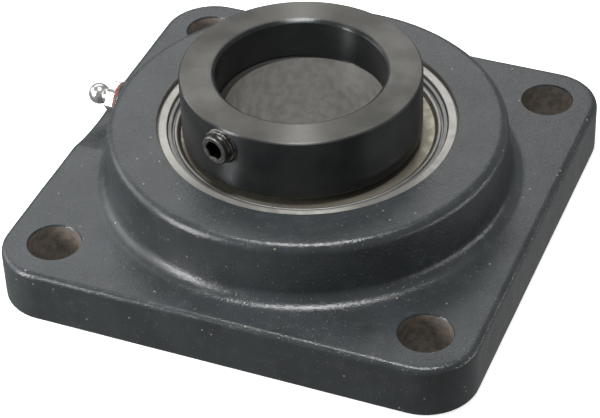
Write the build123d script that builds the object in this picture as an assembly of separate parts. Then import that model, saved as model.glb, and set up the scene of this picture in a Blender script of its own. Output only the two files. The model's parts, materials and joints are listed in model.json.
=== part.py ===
from build123d import *
import math
import os

# Four-bolt flange mount bearing with an eccentric locking collar.
# Millimetres and degrees. The origin is the centre of the bolt pattern on the mounting
# face, +Z points from the flange to the collar, and the flange's sides lie along X and Y.

# Housing: an iron casting.
flange_side = 133.4
flange_thickness = 15.9
flange_corner_radius = 14.5
flange_edge_radius = 1.8
bolt_hole_diameter = 14.3
bolt_edge_distance = 14.3
boss_face_height = 33.3
boss_wall = 12.1
boss_draft = 1.0
boss_edge_radius = 2.6
boss_foot_radius = 4.0
back_edge_chamfer = 1.2
seat_clearance = 0.03
swivel_travel = 3.0

# Bearing insert: heights count from the ball centres.
shaft_diameter = 45.0
inner_ring_wall = 3.63
outer_ring_wall = 3.63
ball_diameter = 12.7
ball_count = 9
ball_clearance = 0.02
race_conformity = 0.52
outer_land_share = 0.3
inner_land_share = 0.307
outer_ring_chamfer = 0.8
outer_ring_sink = 0.95
ring_softening = 0.6

# Relubrication path through the outer ring.
grease_groove_height = -6.2
grease_groove_width = 3.0
grease_groove_depth = 0.7
grease_hole_radius = 0.9
grease_hole_count = 3

# Eccentric cam on the inner ring, and the locking collar that turns on it.
cam_wall = 4.1
cam_offset = 0.8
cam_angle = 248.6
cam_clearance = 0.05
cam_sink = 1.05
cam_length = 6.9
cam_edge_chamfer = 0.4
inner_bore_chamfer = 0.75
collar_wall = 10.2
collar_lift = 0.6
collar_above_cam = 11.8
collar_turn = 130.0
collar_bore_clearance = 0.4
collar_recess_spare = 0.4
collar_bore_chamfer = 0.9
collar_edge_chamfer = 0.4

# Set screw in the collar.
screw_radius = 4.76
screw_length = 12.7
screw_pitch = 1.06
screw_thread_depth = 0.5
screw_thread_clearance = 0.04
screw_angle = -126.4
screw_below_top = 5.5
screw_stand_out = 2.8
screw_point_radius = 3.2
screw_point_length = 1.4
socket_across_flats = 4.76
socket_depth = 5.0

# Seals: a steel shield crimped in the outer ring, with a rubber lip on its inner rim.
seal_seat_step = 1.95
seal_seat_depth = 3.6
seal_gap = 0.58
shield_sheet = 0.55
shield_recess = 2.5
shield_inner_gap = 0.7
lip_clearance = 0.05
lip_depth = 1.7

# Ribbon cage.
cage_sheet = 0.9
cage_inner_share = 0.173
cage_outer_share = 0.181
cage_pocket_clearance = 0.12
rivet_radius = 1.0
rivet_head_radius = 1.7
rivet_head_height = 0.7

# Anti-rotation pin: sits in the outer ring and slides in a slot of the seat.
pin_radius = 2.0
pin_depth = 1.75
pin_stand_out = 1.3
pin_clearance = 0.04
pin_slot_spare = 0.5

# Grease fitting, screwed into a pad on the boss.
fitting_angle = 175.5
fitting_above_balls = 0.45
fitting_pad_length = 3.6
fitting_pad_radius = 6.6
fitting_washer_thickness = 1.2
fitting_washer_radius = 5.2
fitting_hexagon_across_flats = 8.6
fitting_hexagon_length = 3.1
fitting_neck_radius = 2.1
fitting_head_radius = 3.05
fitting_head_reach = 7.0
fitting_thread_radius = 3.1
fitting_thread_length = 6.5
fitting_channel_radius = 1.35
fitting_mouth_radius = 0.85
fitting_clearance = 0.02
check_ball_radius = 1.2
check_ball_clearance = 0.03
check_ball_travel = 1.0
spring_wire_radius = 0.16
spring_turns = 6
grease_passage_radius = 1.5

# Shallow dip in the flange that gives a grease gun room.
dip_depth = 1.9
dip_half_width = 15.0
dip_centre_y = 3.0

# Worked-out sizes, from the shaft outwards.
shaft_radius = shaft_diameter / 2
ball_radius = ball_diameter / 2
ball_circle_radius = shaft_radius + inner_ring_wall + ball_clearance + ball_radius
outer_sphere_radius = ball_circle_radius + ball_radius + ball_clearance + outer_ring_wall
race_radius = race_conformity * ball_diameter
outer_land_radius = ball_circle_radius + outer_land_share * ball_diameter
inner_land_radius = ball_circle_radius - inner_land_share * ball_diameter
seal_seat_radius = outer_land_radius + seal_seat_step
shield_inner_radius = inner_land_radius + shield_inner_gap
cage_inner_radius = ball_circle_radius - cage_inner_share * ball_diameter
cage_outer_radius = ball_circle_radius + cage_outer_share * ball_diameter
cam_radius = shaft_radius + cam_wall
collar_radius = shaft_radius + collar_wall
seat_radius = outer_sphere_radius + seat_clearance
pin_inner_distance = outer_sphere_radius - pin_depth
boss_side_radius = outer_sphere_radius + boss_wall
fitting_pad_distance = boss_side_radius + fitting_pad_length
bolt_spacing = flange_side - 2 * bolt_edge_distance

# Worked-out heights, from the balls outwards.
cage_half_height = ball_radius + cage_pocket_clearance + cage_sheet
half_ring = cage_half_height + seal_gap + shield_sheet + shield_recess
shield_top_height = half_ring - shield_recess
cam_bottom_height = half_ring - cam_sink
inner_ring_top_height = cam_bottom_height + cam_length
collar_bottom_height = cam_bottom_height + collar_lift
collar_top_height = inner_ring_top_height + collar_above_cam
screw_height = collar_top_height - screw_below_top
seat_height = boss_face_height - outer_ring_sink - half_ring
fitting_height = seat_height + fitting_above_balls

# Places of the pieces that don't sit on the housing's own axes.
insert_place = Pos(0, 0, seat_height)
cam_place = Rot(0, 0, cam_angle) * Pos(cam_offset, 0, 0)
collar_place = insert_place * cam_place * Rot(0, 0, collar_turn) * Pos(-cam_offset, 0, 0)
fitting_place = Pos(0, 0, fitting_height) * Rot(0, 0, fitting_angle) * Rot(0, 90, 0)
screw_in_collar = Pos(0, 0, screw_height) * Rot(0, 0, screw_angle) * Rot(0, 90, 0)


def turned(*outline):
    """Solid of a closed outline of (radius, height) points or edges, turned about Z."""
    lines = [line for line in outline if not isinstance(line, tuple)]
    if not lines:
        lines = [Polyline(*outline, close=True)]
    return revolve(Plane.XZ * make_face(lines), Axis.Z)


def ring_band(inner, outer, bottom, top):
    """Plain round band between two radii and two heights."""
    return turned((inner, bottom), (outer, bottom), (outer, top), (inner, top))


def chord_half(radius, offset):
    """Half the chord of a circle at a distance from its centre."""
    return math.sqrt(radius**2 - offset**2)


def around(count, start=0.0):
    """Turns that place copies evenly about Z."""
    return [Rot(0, 0, start + 360 / count * step) for step in range(count)]


def thread_grooves(crest_radius, root_radius, length):
    """Outline points of parallel V grooves of one pitch, from height 0 to length."""
    points = []
    for step in range(int(length / screw_pitch)):
        low = step * screw_pitch
        points.append((crest_radius, low + 0.1 * screw_pitch))
        points.append((root_radius, low + 0.5 * screw_pitch))
        points.append((crest_radius, low + 0.9 * screw_pitch))
    return points


def bolt_places():
    """Centres of the four bolt holes."""
    half = bolt_spacing / 2
    return [Pos(x, y, 0) for x in (-half, half) for y in (-half, half)]


def make_flange():
    """Square plate with round corners, a soft top edge and the grease-gun dip."""
    plate = extrude(RectangleRounded(flange_side, flange_side, flange_corner_radius), flange_thickness)
    dip_radius = (dip_half_width**2 + dip_depth**2) / (2 * dip_depth)
    dip_length = flange_side / 2 - boss_side_radius + 2 * boss_foot_radius
    dip_x = -flange_side / 2 - 1 + dip_length / 2
    dip_z = flange_thickness - dip_depth + dip_radius
    plate -= Pos(dip_x, dip_centre_y, dip_z) * Rot(0, 90, 0) * Cylinder(dip_radius, dip_length)
    rim = flange_side / 2 - flange_corner_radius

    def is_top_rim(edge):
        centre = edge.center()
        return centre.Z > flange_thickness - dip_depth - 0.1 and max(abs(centre.X), abs(centre.Y)) > rim

    return fillet(plate.edges().filter_by(is_top_rim), flange_edge_radius)


def make_boss():
    """Round boss with a drafted side, a soft top edge and a hollow foot that meets the flange."""
    foot_side = boss_side_radius + boss_draft
    foot_reach = foot_side + boss_foot_radius
    foot_top = flange_thickness + boss_foot_radius
    edge_start = boss_face_height - boss_edge_radius
    arc_mid = boss_foot_radius * (1 - math.sqrt(0.5))
    edge_mid = boss_edge_radius * (1 - math.sqrt(0.5))
    outline = [
        Polyline(
            (0, boss_face_height),
            (0, flange_thickness / 2),
            (foot_reach + dip_depth, flange_thickness / 2),
            (foot_reach + dip_depth, flange_thickness - dip_depth),
            (foot_reach, flange_thickness),
        ),
        ThreePointArc(
            (foot_reach, flange_thickness),
            (foot_side + arc_mid, flange_thickness + arc_mid),
            (foot_side, foot_top),
        ),
        Line((foot_side, foot_top), (boss_side_radius, edge_start)),
        ThreePointArc(
            (boss_side_radius, edge_start),
            (boss_side_radius - edge_mid, boss_face_height - edge_mid),
            (boss_side_radius - boss_edge_radius, boss_face_height),
        ),
        Line((boss_side_radius - boss_edge_radius, boss_face_height), (0, boss_face_height)),
    ]
    return turned(*outline)


def make_seat_cuts():
    """Everything that is cut from the middle of the casting, in the housing's frame."""
    opening = chord_half(seat_radius, half_ring)
    cuts = Pos(0, 0, seat_height) * Sphere(seat_radius)
    cuts += turned(
        (0, -1),
        (opening + back_edge_chamfer + 1, -1),
        (opening, back_edge_chamfer),
        (opening, seat_height - half_ring),
        (0, seat_height - half_ring),
    )
    cuts += ring_band(0, opening, seat_height, boss_face_height + 1)
    # Two slots in the back let the insert in edge-on, before it is turned square.
    slot_radius = outer_sphere_radius + 0.4
    slot_width = 2 * half_ring + 1.0
    slots = ring_band(0, slot_radius, 0, seat_height)
    cuts += slots & Pos(0, 0, seat_height / 2) * Box(slot_width, 3 * slot_radius, seat_height)
    # The anti-rotation pin's slot runs in from the back, to just past the pin's travel.
    swing = outer_sphere_radius * math.radians(swivel_travel)
    slot_top = seat_height + swing + pin_radius + pin_slot_spare
    slot_reach = outer_sphere_radius + pin_stand_out + pin_slot_spare
    slot_start = slot_reach / 2
    cuts += Pos((slot_start + slot_reach) / 2, 0, slot_top / 2) * Box(
        slot_reach - slot_start, 2 * (pin_radius + pin_clearance), slot_top
    )
    return cuts


def make_grease_cuts():
    """Tapped hole, passage and pocket that lead grease from the fitting to the ring's groove."""
    thread_hole = fitting_thread_radius + fitting_clearance
    thread_start = fitting_pad_distance - fitting_thread_length - 0.5
    pocket_low = seat_height + grease_groove_height - grease_groove_width / 2
    pocket_high = fitting_height + grease_passage_radius
    pocket_depth = 1.2
    hole = Cylinder(thread_hole, 2 * fitting_thread_length, align=(Align.CENTER, Align.CENTER, Align.MIN))
    passage = Cylinder(
        grease_passage_radius, outer_sphere_radius / 2, align=(Align.CENTER, Align.CENTER, Align.MAX)
    )
    pocket = Box(
        2 * grease_passage_radius,
        outer_sphere_radius / 2 + pocket_depth,
        pocket_high - pocket_low,
        align=(Align.CENTER, Align.MIN, Align.MIN),
    )
    turn = Rot(0, 0, fitting_angle)
    cuts = fitting_place * Pos(0, 0, thread_start) * hole
    cuts += fitting_place * Pos(0, 0, thread_start + 0.01) * passage
    cuts += turn * Rot(0, 0, -90) * Pos(0, outer_sphere_radius / 2, pocket_low) * pocket
    return cuts


def make_housing():
    """Flange, boss and fitting pad as one casting, with its seat, holes and passages cut."""
    pad = fitting_place * Cylinder(
        fitting_pad_radius, fitting_pad_distance, align=(Align.CENTER, Align.CENTER, Align.MIN)
    )
    casting = make_flange() + make_boss() + pad
    casting -= make_seat_cuts()
    casting -= make_grease_cuts()
    for place in bolt_places():
        casting -= place * Cylinder(bolt_hole_diameter / 2, 3 * flange_thickness)
    return casting


def make_outer_ring():
    """Ring with a spherical outside, one deep race, two seal seats and its grease path."""
    face_radius = chord_half(outer_sphere_radius, half_ring - outer_ring_chamfer)
    seat_floor = half_ring - seal_seat_depth
    race_half = chord_half(race_radius, outer_land_radius - race_centre(True))
    chamfer_top = half_ring - outer_ring_chamfer
    flat_radius = face_radius - outer_ring_chamfer
    outline = [
        ThreePointArc((face_radius, -chamfer_top), (outer_sphere_radius, 0), (face_radius, chamfer_top)),
        Polyline(
            (face_radius, chamfer_top),
            (flat_radius, half_ring),
            (seal_seat_radius, half_ring),
            (seal_seat_radius, seat_floor),
            (outer_land_radius, seat_floor),
            (outer_land_radius, race_half),
        ),
        ThreePointArc(
            (outer_land_radius, race_half),
            (race_centre(True) + race_radius, 0),
            (outer_land_radius, -race_half),
        ),
        Polyline(
            (outer_land_radius, -race_half),
            (outer_land_radius, -seat_floor),
            (seal_seat_radius, -seat_floor),
            (seal_seat_radius, -half_ring),
            (flat_radius, -half_ring),
            (face_radius, -chamfer_top),
        ),
    ]
    ring = turned(*outline)
    groove_floor = chord_half(outer_sphere_radius, grease_groove_height) - grease_groove_depth
    groove_half = grease_groove_width / 2
    ring -= ring_band(
        groove_floor,
        outer_sphere_radius + 1,
        grease_groove_height - groove_half,
        grease_groove_height + groove_half,
    )
    hole = Rot(0, 90, 0) * Cylinder(
        grease_hole_radius, outer_sphere_radius, align=(Align.CENTER, Align.CENTER, Align.MIN)
    )
    for turn in around(grease_hole_count, 60):
        ring -= turn * Pos(0, 0, grease_groove_height) * hole
    pin_hole = Cylinder(
        pin_radius + pin_clearance, outer_sphere_radius, align=(Align.CENTER, Align.CENTER, Align.MIN)
    )
    return ring - Rot(0, 90, 0) * Pos(0, 0, pin_inner_distance - pin_clearance) * pin_hole


def race_centre(outer):
    """Distance of a race's groove centre from the axis."""
    reach = ball_radius + ball_clearance
    if outer:
        return ball_circle_radius + reach - race_radius
    return ball_circle_radius - reach + race_radius


def make_inner_ring():
    """Ring with the shaft bore, the inner race and, towards the collar, the eccentric cam."""
    race_half = chord_half(race_radius, race_centre(False) - inner_land_radius)
    soft = ring_softening
    outline = [
        Polyline(
            (inner_land_radius, race_half),
            (inner_land_radius, cam_bottom_height - soft),
            (inner_land_radius - soft, cam_bottom_height),
            (shaft_radius, cam_bottom_height),
            (shaft_radius, soft - half_ring),
            (shaft_radius + soft, -half_ring),
            (inner_land_radius - soft, -half_ring),
            (inner_land_radius, soft - half_ring),
            (inner_land_radius, -race_half),
        ),
        ThreePointArc(
            (inner_land_radius, -race_half),
            (race_centre(False) - race_radius, 0),
            (inner_land_radius, race_half),
        ),
    ]
    ring = turned(*outline)
    cam = Cylinder(cam_radius, cam_length, align=(Align.CENTER, Align.CENTER, Align.MIN))
    cam = chamfer(cam.edges().sort_by(Axis.Z)[-1], cam_edge_chamfer)
    ring += cam_place * Pos(0, 0, cam_bottom_height) * cam
    ring -= Cylinder(shaft_radius, 4 * half_ring)
    mouth_start = inner_ring_top_height - inner_bore_chamfer
    return ring - turned(
        (0, mouth_start),
        (shaft_radius, mouth_start),
        (shaft_radius + 2 * inner_bore_chamfer, inner_ring_top_height + inner_bore_chamfer),
        (0, inner_ring_top_height + inner_bore_chamfer),
    )


def make_locking_collar():
    """Collar with a concentric bore, an eccentric recess over the cam and a tapped hole."""
    bore = shaft_radius + collar_bore_clearance
    soft = collar_edge_chamfer
    collar = turned(
        (bore, collar_bottom_height),
        (collar_radius - soft, collar_bottom_height),
        (collar_radius, collar_bottom_height + soft),
        (collar_radius, collar_top_height - soft),
        (collar_radius - soft, collar_top_height),
        (bore + collar_bore_chamfer, collar_top_height),
        (bore, collar_top_height - collar_bore_chamfer),
    )
    recess = Cylinder(
        cam_radius + cam_clearance,
        inner_ring_top_height + collar_recess_spare - collar_bottom_height + 1,
        align=(Align.CENTER, Align.CENTER, Align.MIN),
    )
    collar -= Pos(cam_offset, 0, collar_bottom_height - 1) * recess
    hole_radius = screw_radius + screw_thread_clearance
    hole_length = collar_radius - bore + 8
    grooves = thread_grooves(hole_radius, hole_radius + screw_thread_depth, hole_length)
    tapped = turned((0, 0), (hole_radius, 0), *grooves, (hole_radius, hole_length), (0, hole_length))
    return collar - screw_in_collar * Pos(0, 0, bore - 3) * tapped


def make_set_screw():
    """Headless screw with a hexagon socket, a cup point and rolled thread, along +Z."""
    thread_start = screw_point_length
    thread_length = screw_length - thread_start - 0.7
    grooves = thread_grooves(screw_radius, screw_radius - screw_thread_depth, thread_length)
    grooves = [(radius, height + thread_start) for radius, height in grooves]
    root = screw_radius - screw_thread_depth
    body = turned(
        (0, 0.8),
        (screw_point_radius - 0.8, 0.8),
        (screw_point_radius, 0),
        (root, thread_start),
        *grooves,
        (root - 0.2, screw_length),
        (0, screw_length),
    )
    socket = extrude(RegularPolygon(socket_across_flats / 2, 6, major_radius=False), socket_depth)
    return body - Pos(0, 0, screw_length - socket_depth) * socket


def make_shield():
    """Front shield: crimped rim, thin groove, rolled shoulder and a flat round the inner ring."""
    flat = shield_top_height
    rim_top = half_ring - 0.8
    shoulder = half_ring - 1.5
    groove = half_ring - 2.0
    foot = half_ring - seal_seat_depth + 0.05
    rim = seal_seat_radius - 0.05
    return turned(
        (shield_inner_radius, flat - shield_sheet),
        (shield_inner_radius, flat),
        (rim - 3.6, flat),
        (rim - 2.85, shoulder - 0.2),
        (rim - 2.55, shoulder),
        (rim - 2.0, shoulder),
        (rim - 1.85, groove),
        (rim - 1.4, groove),
        (rim - 1.25, rim_top),
        (rim - 0.35, rim_top),
        (rim, rim_top - 0.35),
        (rim, foot),
        (rim - shield_sheet, foot),
        (rim - shield_sheet, groove - shield_sheet),
        (rim - 2.1, groove - shield_sheet),
        (rim - 2.1, shoulder - shield_sheet),
        (rim - 2.6, shoulder - shield_sheet),
        (rim - 3.35, flat - shield_sheet),
    )


def make_lip():
    """Front rubber lip: fills the shield's inner rim and tapers to an edge on the inner ring."""
    edge = inner_land_radius + lip_clearance
    under = shield_top_height - shield_sheet
    rim = shield_inner_radius - 0.01
    wide = cage_inner_radius - 0.2
    return turned(
        (edge + 0.3, shield_top_height),
        (edge, shield_top_height - 0.3),
        (edge, shield_top_height - lip_depth),
        (edge + 0.5, shield_top_height - lip_depth - 0.2),
        (wide, under - 0.5),
        (wide, under - 0.01),
        (rim, under - 0.01),
        (rim, shield_top_height),
    )


def make_cage_half():
    """Front half of the ribbon cage: flat webs and round pockets pressed over the balls."""
    pocket = ball_radius + cage_pocket_clearance
    band = ring_band(cage_inner_radius, cage_outer_radius, 0, pocket + cage_sheet)
    half = ring_band(cage_inner_radius, cage_outer_radius, 0, cage_sheet)
    for turn in around(ball_count):
        half += band & (turn * Pos(ball_circle_radius, 0, 0) * Sphere(pocket + cage_sheet))
    for turn in around(ball_count):
        half -= turn * Pos(ball_circle_radius, 0, 0) * Sphere(pocket)
    for place in rivet_places():
        half -= place * Cylinder(rivet_radius + 0.01, 3 * cage_sheet)
    return half


def rivet_places():
    """Turns and shifts that put a rivet midway between each two balls."""
    return [turn * Pos(ball_circle_radius, 0, 0) for turn in around(ball_count, 180 / ball_count)]


def make_rivet():
    """Rivet with two domed heads that clamps the cage halves, its middle at height 0."""
    grip = cage_sheet + 0.01
    top = grip + rivet_head_height
    shank = rivet_radius
    flat = rivet_head_radius - 0.6
    return turned(
        (0, -top),
        (flat, -top),
        (rivet_head_radius, -grip),
        (shank, -grip),
        (shank, grip),
        (rivet_head_radius, grip),
        (flat, top),
        (0, top),
    )


def make_pin():
    """Anti-rotation pin along +Z, with a domed outer end."""
    length = outer_sphere_radius + pin_stand_out - pin_inner_distance
    pin = Cylinder(pin_radius, length, align=(Align.CENTER, Align.CENTER, Align.MIN))
    pin = fillet(pin.edges().sort_by(Axis.Z)[-1], pin_radius / 3)
    return Rot(0, 90, 0) * Pos(0, 0, pin_inner_distance) * pin


def make_fitting():
    """Grease fitting along +Z, heights counted from the bearing's axis."""
    seat = fitting_pad_distance + fitting_washer_thickness
    hexagon = Pos(0, 0, seat) * extrude(
        RegularPolygon(fitting_hexagon_across_flats / 2, 6, major_radius=False), fitting_hexagon_length
    )
    corner = fitting_hexagon_across_flats / math.sqrt(3)
    dome = turned(
        (0, seat),
        (corner, seat),
        (corner, seat + 0.7 * fitting_hexagon_length),
        (corner - 0.8, seat + fitting_hexagon_length),
        (0, seat + fitting_hexagon_length),
    )
    head_centre = seat + fitting_head_reach
    head_flat = head_centre + 0.85 * fitting_head_radius
    thread_low = fitting_pad_distance - fitting_thread_length
    shank = turned(
        (0, thread_low),
        (fitting_thread_radius - 0.4, thread_low),
        (fitting_thread_radius, thread_low + 0.4),
        (fitting_thread_radius, seat + 0.1),
        (fitting_neck_radius, seat + 0.1),
        (fitting_neck_radius, head_centre),
        (0, head_centre),
    )
    head = Pos(0, 0, head_centre) * Sphere(fitting_head_radius)
    head &= ring_band(0, 2 * fitting_head_radius, head_centre - fitting_head_radius, head_flat)
    body = (hexagon & dome) + shank + head
    channel_top = check_ball_height() - check_ball_radius / 2
    channel = ring_band(0, fitting_channel_radius, thread_low - 1, channel_top)
    ball_room = check_ball_radius + check_ball_clearance
    mouth_start = check_ball_height() + chord_half(ball_room, fitting_mouth_radius)
    mouth = ring_band(0, fitting_mouth_radius, channel_top - 1, head_flat + 1)
    seat_room = Pos(0, 0, check_ball_height()) * Sphere(ball_room)
    cone = turned(
        (0, channel_top - 0.1),
        (fitting_channel_radius, channel_top - 0.1),
        (fitting_mouth_radius, mouth_start),
        (0, mouth_start),
    )
    return body - channel - mouth - seat_room - cone


def check_ball_height():
    """Distance of the check ball's centre from the bearing's axis when it is shut."""
    head_centre = fitting_pad_distance + fitting_washer_thickness + fitting_head_reach
    return head_centre + 0.85 * fitting_head_radius - 1.0


def make_spring():
    """Coil spring between the channel's crimped foot and the check ball, along +Z."""
    coil_radius = fitting_channel_radius - spring_wire_radius - 0.1
    low = fitting_pad_distance
    high = check_ball_height() - check_ball_radius - spring_wire_radius - check_ball_travel / 4
    path = Helix((high - low) / spring_turns, high - low, coil_radius)
    wire = Plane(path @ 0, z_dir=path % 0) * Circle(spring_wire_radius)
    return Pos(0, 0, low) * sweep(wire, path)


def make_washer():
    """Flat sealing washer under the fitting's hexagon."""
    low = fitting_pad_distance
    high = low + fitting_washer_thickness
    return ring_band(fitting_thread_radius + 0.05, fitting_washer_radius, low, high)


cage_half = make_cage_half()
shield = make_shield()
lip = make_lip()
rivet = make_rivet()
screw_start = collar_radius + screw_stand_out - screw_length

nodes = {
    "housing": make_housing(),
    "grease_fitting": fitting_place * make_fitting(),
    "fitting_washer": fitting_place * make_washer(),
    "grease_check_ball": fitting_place * Pos(0, 0, check_ball_height()) * Sphere(check_ball_radius),
    "grease_spring": fitting_place * make_spring(),
    "anti_rotation_pin": insert_place * make_pin(),
    "outer_ring": insert_place * make_outer_ring(),
    "inner_ring": insert_place * make_inner_ring(),
    "front_seal_shield": insert_place * shield,
    "front_seal_lip": insert_place * lip,
    "rear_seal_shield": insert_place * Rot(180, 0, 0) * shield,
    "rear_seal_lip": insert_place * Rot(180, 0, 0) * lip,
    "cage_front": insert_place * cage_half,
    "cage_rear": insert_place * Rot(180, 0, 0) * cage_half,
    "cage_rivets": Compound(children=[insert_place * place * rivet for place in rivet_places()]),
    "locking_collar": collar_place * make_locking_collar(),
    "set_screw": collar_place * screw_in_collar * Pos(0, 0, screw_start) * make_set_screw(),
}
for number, turn in enumerate(around(ball_count), start=1):
    ball = turn * Pos(ball_circle_radius, 0, 0) * Sphere(ball_radius)
    nodes[f"ball_{number}"] = insert_place * ball

os.makedirs("parts", exist_ok=True)
for name, shape in nodes.items():
    export_step(shape, f"parts/{name}.step")
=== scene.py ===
"""Finished look of the flange mount bearing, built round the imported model.

Lengths are in millimetres until a mesh is made, and heights in the insert count from the
centre of its balls along its own axis.
"""

import json
import math

import bpy
import numpy as np
from mathutils import Matrix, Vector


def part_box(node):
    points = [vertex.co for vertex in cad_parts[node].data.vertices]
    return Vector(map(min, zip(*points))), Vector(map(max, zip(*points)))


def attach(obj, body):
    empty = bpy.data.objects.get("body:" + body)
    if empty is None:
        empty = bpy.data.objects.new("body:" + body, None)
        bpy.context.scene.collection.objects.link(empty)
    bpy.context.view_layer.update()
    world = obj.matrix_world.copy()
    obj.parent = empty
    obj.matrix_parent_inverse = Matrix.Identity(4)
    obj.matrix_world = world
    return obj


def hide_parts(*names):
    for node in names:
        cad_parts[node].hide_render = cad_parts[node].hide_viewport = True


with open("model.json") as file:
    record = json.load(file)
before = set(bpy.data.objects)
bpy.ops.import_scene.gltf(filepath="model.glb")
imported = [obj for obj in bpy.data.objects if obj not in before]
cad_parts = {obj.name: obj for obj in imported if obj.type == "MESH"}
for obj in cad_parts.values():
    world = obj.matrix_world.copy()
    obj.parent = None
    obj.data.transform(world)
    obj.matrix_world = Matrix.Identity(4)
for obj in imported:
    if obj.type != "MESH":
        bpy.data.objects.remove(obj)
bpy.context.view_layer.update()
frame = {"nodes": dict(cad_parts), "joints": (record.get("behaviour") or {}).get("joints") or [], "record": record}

MM = 0.001
TURN = 2 * math.pi

# Housing casting.
flange_half = 66.7
flange_thickness = 15.9
flange_corner = 14.5
flange_edge = 1.8
boss_height = 33.3
boss_side = 54.6
boss_foot_side = 55.6
boss_edge = 2.6
boss_foot = 4.0
bolt_hole = 7.15
seat_radius = 42.53
half_ring = 11.0
dip_depth = 1.9
dip_half_width = 15.0
dip_centre = 3.0
pad_reach = 58.2
pad_radius = 6.6

# Insert rings.
sphere_radius = 42.5
ring_chamfer = 0.8
seal_seat = 38.26
seal_seat_floor = 7.4
outer_land = 36.31
inner_land = 28.6
ball_circle = 32.5
race_radius = 6.604
race_depth = 6.37
shaft_radius = 22.5
cam_radius = 26.6
cam_offset = 0.8
cam_angle = 248.6
cam_bottom = 9.95
inner_ring_top = 16.85
inner_bore_chamfer = 0.75

# Locking collar and its set screw.
collar_radius = 32.7
collar_bottom = 10.55
collar_top = 28.65
collar_bore = 22.9
collar_bore_chamfer = 0.9
collar_recess = 26.65
collar_recess_top = 17.25
collar_turn = 130.0
screw_radius = 4.76
screw_length = 12.7
screw_pitch = 1.06
thread_depth = 0.5
tapped_radius = 4.80
socket_flats = 4.76
socket_depth = 5.0

# Grease fitting, lengths from the bearing's axis.
hexagon_start = 59.4
hexagon_end = 62.5
hexagon_flats = 8.6
fitting_neck = 2.1
fitting_head = 66.4
fitting_head_radius = 3.05
fitting_thread = 3.1
fitting_thread_start = 51.7
fitting_mouth = 0.85


# Places and directions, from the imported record.
joints = {joint["name"]: joint for joint in frame["joints"]}
mounts = {mount["name"]: mount for mount in frame["record"]["mounts"]}


def direction(joint, sign=1.0):
    """Unit axis of a joint."""
    axis = np.array(joints[joint]["axis"], float) * sign
    return axis / np.linalg.norm(axis)


def middle(node):
    """Middle of a node's box, in millimetres."""
    low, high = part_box(node)
    return (np.array(low) + np.array(high)) / 2 / MM


def place_along(origin, out, side):
    """Origin and axes of a local frame whose Z is out and whose X leans to side."""
    out = out / np.linalg.norm(out)
    across = side - out * np.dot(side, out)
    across = across / np.linalg.norm(across)
    return origin, np.stack([across, np.cross(out, across), out], axis=1)


swivel_centre = np.array(joints["insert_tilt_y"]["pos_m"]) / MM
shaft_axis = direction("shaft_spin")
pin_axis = direction("insert_tilt_x")
cam_centre = np.array(joints["collar_lock"]["pos_m"]) / MM
screw_out = direction("set_screw_travel", -1)
fitting_out = direction("check_ball_travel", -1)
up = np.array([0.0, 0.0, 1.0])

seat_height = swivel_centre[2]
bolt_half = mounts["bolt_holes"]["dims"]["spacing_x_mm"] / 2
upright = (np.zeros(3), np.eye(3))
in_insert = place_along(swivel_centre, shaft_axis, pin_axis)
in_cam = place_along(cam_centre, shaft_axis, cam_centre - swivel_centre)
collar_bearing = math.radians(cam_angle + collar_turn)
to_recess = np.array([math.cos(collar_bearing), math.sin(collar_bearing), 0.0])
in_collar = place_along(cam_centre - to_recess * cam_offset, shaft_axis, to_recess)
screw_foot = middle("set_screw") - screw_out * screw_length / 2
in_screw = place_along(screw_foot, screw_out, shaft_axis)
fitting_foot = np.array([0.0, 0.0, middle("grease_check_ball")[2]])
in_fitting = place_along(fitting_foot, fitting_out, up)


# Surfaces.


def surface(name, points, place=upright, shut=True, material=None):
    """Mesh of a grid of points (rows, columns, 3) whose columns close on themselves.

    With shut, the last row joins the first. Otherwise both end rows are single points.
    Faces are turned outwards by the sign of the enclosed volume.
    """
    rows, columns = points.shape[:2]
    origin, axes = place
    world = (origin + points.reshape(-1, 3) @ axes.T) * MM
    index = np.arange(rows * columns).reshape(rows, columns)
    if not shut:
        index[0] = index[0, 0]
        index[-1] = index[-1, 0]
    low = index if shut else index[:-1]
    high = np.roll(index, -1, axis=0) if shut else index[1:]
    quads = np.stack([low, np.roll(low, -1, 1), np.roll(high, -1, 1), high], -1).reshape(-1, 4)
    ends = [] if shut else [quads[:columns][:, [0, 2, 3]], quads[-columns:][:, [0, 1, 2]]]
    quads = quads if shut else quads[columns:-columns]
    triangles = np.concatenate([quads[:, :3], quads[:, [0, 2, 3]], *ends])
    corners = world[triangles]
    volume = np.einsum("ij,ij->i", corners[:, 0], np.cross(corners[:, 1], corners[:, 2])).sum()
    turn = slice(None, None, -1 if volume < 0 else 1)
    used = np.unique(index)
    renumber = np.zeros(rows * columns, int)
    renumber[used] = np.arange(len(used))
    faces = []
    for group in (quads, *ends):
        faces += renumber[group[:, turn]].tolist()
    mesh = bpy.data.meshes.new(name)
    mesh.from_pydata(world[used].tolist(), [], faces)
    mesh.polygons.foreach_set("use_smooth", np.ones(len(faces), bool))
    piece = bpy.data.objects.new(name, mesh)
    bpy.context.scene.collection.objects.link(piece)
    if material:
        mesh.materials.append(material)
    return piece


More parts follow.
